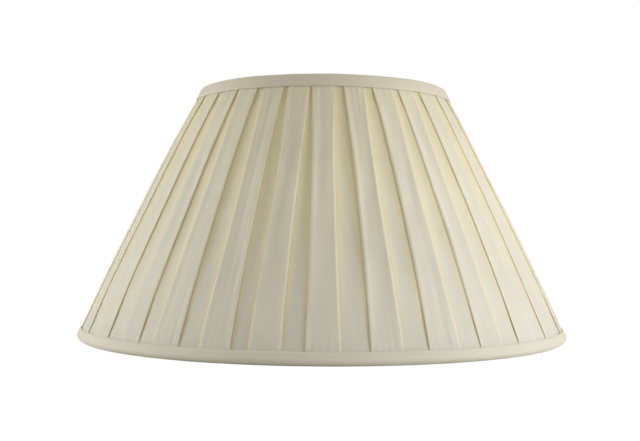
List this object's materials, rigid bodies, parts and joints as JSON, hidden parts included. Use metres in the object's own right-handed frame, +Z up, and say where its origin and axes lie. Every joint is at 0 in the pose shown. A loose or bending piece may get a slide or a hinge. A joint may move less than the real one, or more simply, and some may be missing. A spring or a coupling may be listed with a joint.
{
  "type": "lamp shade",
  "caption": "Box-pleated cream fabric empire lamp shade with bias bindings, stretched lining, wire frame and reversible gimbal fitter.",
  "frame": {"origin": "on the cone's axis, on the surface the bottom rim stands on", "axes": "+Z up along the cone's axis, out of the narrow top; -Y is the front; X runs along the gimbal's pivots"},
  "size_m": [0.4052, 0.4052, 0.2062],
  "materials": {
    "cover_cloth": "fine plain-weave cream cotton",
    "lining_cloth": "stretched ivory lining, slight sheen",
    "tape_cloth": "unbleached cotton tape",
    "frame_wire": "white plastic-coated wire",
    "gimbal_steel": "white powder coat",
    "rivet_steel": "zinc plated",
    "reducer_plastic": "moulded white plastic"
  },
  "bodies": {
    "shade": {"top_ring_wire": "frame_wire", "bottom_ring_wire": "frame_wire", "strut_1": "frame_wire", "strut_2": "frame_wire", "strut_3": "frame_wire", "strut_4": "frame_wire", "strut_5": "frame_wire", "strut_6": "frame_wire", "strut_7": "frame_wire", "strut_8": "frame_wire", "top_ring_tape": "tape_cloth", "bottom_ring_tape": "tape_cloth", "pivot_rivet_left": "rivet_steel", "pivot_rivet_right": "rivet_steel", "lining_left": "lining_cloth", "lining_right": "lining_cloth", "pleated_cover_panel_1": "cover_cloth", "pleated_cover_panel_2": "cover_cloth", "pleated_cover_panel_3": "cover_cloth", "top_binding": "cover_cloth", "bottom_binding": "cover_cloth"},
    "gimbal": {"gimbal_arm_left": "gimbal_steel", "gimbal_arm_right": "gimbal_steel", "utility_ring": "gimbal_steel"},
    "reducer": {"reducer_ring": "reducer_plastic"}
  },
  "joints": [
    {"name": "gimbal_swing", "type": "hinge", "parent": "shade", "child": "gimbal", "pos_m": [0, 0, 0.20223], "axis": [1, 0, 0], "continuous": true},
    {"name": "reducer_lift", "type": "slide", "parent": "gimbal", "child": "reducer", "axis": [0, 0, 1], "range_m": [0, 0.06]}
  ]
}
